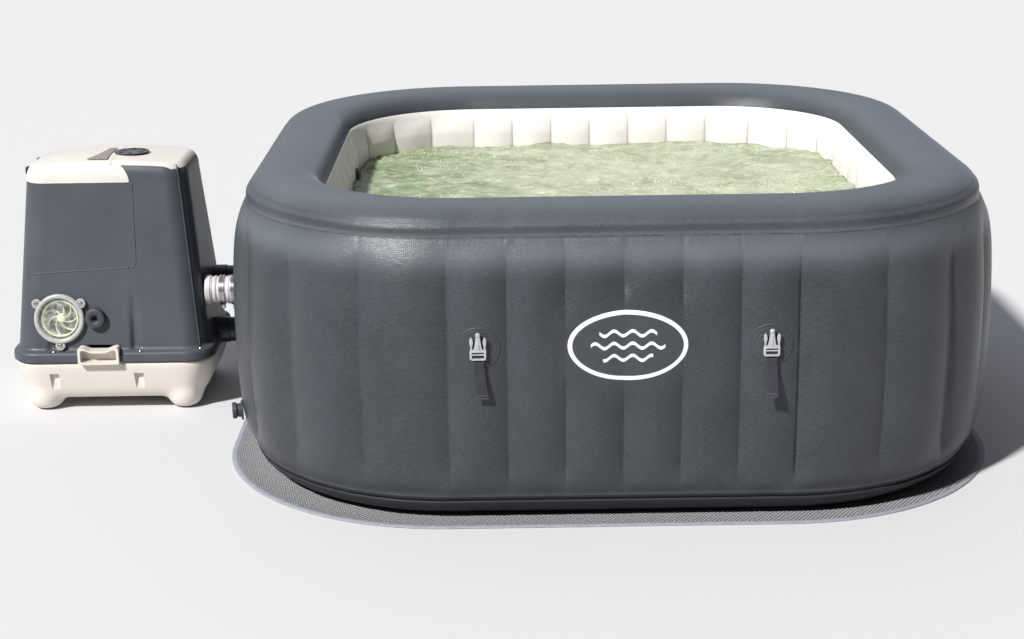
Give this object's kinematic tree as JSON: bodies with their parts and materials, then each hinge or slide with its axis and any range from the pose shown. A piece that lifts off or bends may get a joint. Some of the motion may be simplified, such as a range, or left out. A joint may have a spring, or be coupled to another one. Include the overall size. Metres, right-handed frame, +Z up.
{
  "type": "inflatable hot tub",
  "caption": "Square inflatable hot tub with a rolled rim, off-white liner, cover straps and a free-standing heater, filter and air pump unit.",
  "frame": {"origin": "middle of the tub footprint, on the ground", "axes": "+Z up, front wall with the badge towards -Y, pump unit on the -X side"},
  "size_m": [2.459, 1.8613, 0.71],
  "materials": {
    "tub_skin": "PVC laminate, satin grey",
    "tub_bottom": "PVC laminate, matt charcoal",
    "liner": "PVC laminate, satin off-white",
    "mat": "woven ground cloth",
    "white_plastic": "moulded, satin cream",
    "beige_plastic": "moulded, fine texture",
    "cover_plastic": "moulded, fine texture",
    "taupe_pad": "soft moulded pad",
    "black_plastic": "moulded",
    "dark_plastic": "moulded",
    "clear_plastic": "clear polycarbonate",
    "clip_plastic": "moulded acetal",
    "webbing": "woven polyester",
    "steel": "stainless",
    "filter_paper": "pleated filter paper",
    "board": "circuit board",
    "badge_white": "printed vinyl"
  },
  "bodies": {
    "tub": {"ground_mat": "mat", "bottom_sheet": "tub_bottom", "outer_skin": "tub_skin", "inner_liner": "liner", "floor_sheet": "liner", "tension_baffles": "tub_bottom", "badge_patch": "badge_white", "inflation_valve": "black_plastic", "drain_valve": "dark_plastic", "jet_port": "black_plastic", "base_tray": "beige_plastic", "pump_cover": "cover_plastic", "top_cap": "white_plastic", "control_panel": "black_plastic", "strainer_window": "clear_plastic", "strainer_screw_1": "steel", "strainer_screw_2": "steel", "strainer_screw_3": "steel", "strainer_bowl": "beige_plastic", "pump_motor": "dark_plastic", "carry_handle": "beige_plastic", "filter_housing": "beige_plastic", "filter_cartridge": "filter_paper", "heater_tube": "steel", "blower_case": "dark_plastic", "circuit_board": "board", "rear_grille": "dark_plastic", "cable_gland": "black_plastic", "air_hose": "white_plastic", "hose_clamp_pump": "steel", "hose_clamp_tub": "steel", "water_pipe_upper": "black_plastic", "water_pipe_lower": "black_plastic", "front_left_patch": "tub_skin", "front_right_patch": "tub_skin", "back_left_patch": "tub_skin", "back_right_patch": "tub_skin"},
    "front_left_clip": {"front_left_clip": "clip_plastic"},
    "front_left_tail": {"front_left_tail": "webbing"},
    "front_right_clip": {"front_right_clip": "clip_plastic"},
    "front_right_tail": {"front_right_tail": "webbing"},
    "back_left_clip": {"back_left_clip": "clip_plastic"},
    "back_left_tail": {"back_left_tail": "webbing"},
    "back_right_clip": {"back_right_clip": "clip_plastic"},
    "back_right_tail": {"back_right_tail": "webbing"},
    "filter_lid": {"filter_lid": "white_plastic", "grip_insert": "taupe_pad", "lid_hinge_front": "black_plastic", "lid_hinge_rear": "black_plastic"},
    "button_1": {"button_1": "dark_plastic"},
    "button_2": {"button_2": "dark_plastic"},
    "button_3": {"button_3": "dark_plastic"},
    "button_4": {"button_4": "dark_plastic"},
    "button_5": {"button_5": "dark_plastic"},
    "button_6": {"button_6": "dark_plastic"},
    "drain_knob": {"drain_knob": "dark_plastic"},
    "impeller": {"impeller": "dark_plastic"},
    "blower_fan": {"blower_fan": "black_plastic"},
    "inflation_cap": {"inflation_cap": "black_plastic"},
    "drain_cap": {"drain_cap": "black_plastic"}
  },
  "joints": [
    {"name": "front_left_clip_tilt", "type": "hinge", "parent": "tub", "child": "front_left_clip", "pos_m": [-0.312, -0.9078, 0.392], "axis": [1, 0, 0], "range_deg": [0, 80]},
    {"name": "front_left_tail_swing", "type": "hinge", "parent": "tub", "child": "front_left_tail", "pos_m": [-0.312, -0.9081, 0.386], "axis": [-1, 0, 0], "range_deg": [0, 85]},
    {"name": "front_right_clip_tilt", "type": "hinge", "parent": "tub", "child": "front_right_clip", "pos_m": [0.312, -0.9078, 0.392], "axis": [1, 0, 0], "range_deg": [0, 80]},
    {"name": "front_right_tail_swing", "type": "hinge", "parent": "tub", "child": "front_right_tail", "pos_m": [0.312, -0.9081, 0.386], "axis": [-1, 0, 0], "range_deg": [0, 85]},
    {"name": "back_left_clip_tilt", "type": "hinge", "parent": "tub", "child": "back_left_clip", "pos_m": [-0.312, 0.9078, 0.392], "axis": [-1, 0, 0], "range_deg": [0, 80]},
    {"name": "back_left_tail_swing", "type": "hinge", "parent": "tub", "child": "back_left_tail", "pos_m": [-0.312, 0.9081, 0.386], "axis": [1, 0, 0], "range_deg": [0, 85]},
    {"name": "back_right_clip_tilt", "type": "hinge", "parent": "tub", "child": "back_right_clip", "pos_m": [0.312, 0.9078, 0.392], "axis": [-1, 0, 0], "range_deg": [0, 80]},
    {"name": "back_right_tail_swing", "type": "hinge", "parent": "tub", "child": "back_right_tail", "pos_m": [0.312, 0.9081, 0.386], "axis": [1, 0, 0], "range_deg": [0, 85]},
    {"name": "filter_lid_hinge", "type": "hinge", "parent": "tub", "child": "filter_lid", "pos_m": [-1.494, 0.14, 0.603], "axis": [0, -1, 0], "range_deg": [0, 100]},
    {"name": "button_1_press", "type": "slide", "parent": "tub", "child": "button_1", "axis": [0, 0, -1], "range_m": [0, 0.0011], "stiffness_N_per_m": 900, "springref_m": -0.0003},
    {"name": "button_2_press", "type": "slide", "parent": "tub", "child": "button_2", "axis": [0, 0, -1], "range_m": [0, 0.0011], "stiffness_N_per_m": 900, "springref_m": -0.0003},
    {"name": "button_3_press", "type": "slide", "parent": "tub", "child": "button_3", "axis": [0, 0, -1], "range_m": [0, 0.0011], "stiffness_N_per_m": 900, "springref_m": -0.0003},
    {"name": "button_4_press", "type": "slide", "parent": "tub", "child": "button_4", "axis": [0, 0, -1], "range_m": [0, 0.0011], "stiffness_N_per_m": 900, "springref_m": -0.0003},
    {"name": "button_5_press", "type": "slide", "parent": "tub", "child": "button_5", "axis": [0, 0, -1], "range_m": [0, 0.0011], "stiffness_N_per_m": 900, "springref_m": -0.0003},
    {"name": "button_6_press", "type": "slide", "parent": "tub", "child": "button_6", "axis": [0, 0, -1], "range_m": [0, 0.0011], "stiffness_N_per_m": 900, "springref_m": -0.0003},
    {"name": "drain_knob_turn", "type": "hinge", "parent": "tub", "child": "drain_knob", "pos_m": [-1.315, -0.05725, 0.252], "axis": [0, -0.9889, 0.1483], "range_deg": [0, 270]},
    {"name": "impeller_spin", "type": "hinge", "parent": "tub", "child": "impeller", "pos_m": [-1.408, -0.05725, 0.252], "axis": [0, -0.9889, 0.1483], "continuous": true},
    {"name": "blower_fan_spin", "type": "hinge", "parent": "tub", "child": "blower_fan", "pos_m": [-1.185, 0.14, 0.36], "axis": [0, 0, 1], "continuous": true},
    {"name": "inflation_cap_turn", "type": "hinge", "parent": "tub", "child": "inflation_cap", "pos_m": [0.0625, 0.9003, 0.5], "axis": [0, 1, 0], "range_deg": [0, 360]},
    {"name": "drain_cap_turn", "type": "hinge", "parent": "tub", "child": "drain_cap", "pos_m": [-0.8826, -0.47827, 0.14], "axis": [-0.9799, -0.1994, 0], "range_deg": [0, 360]}
  ]
}
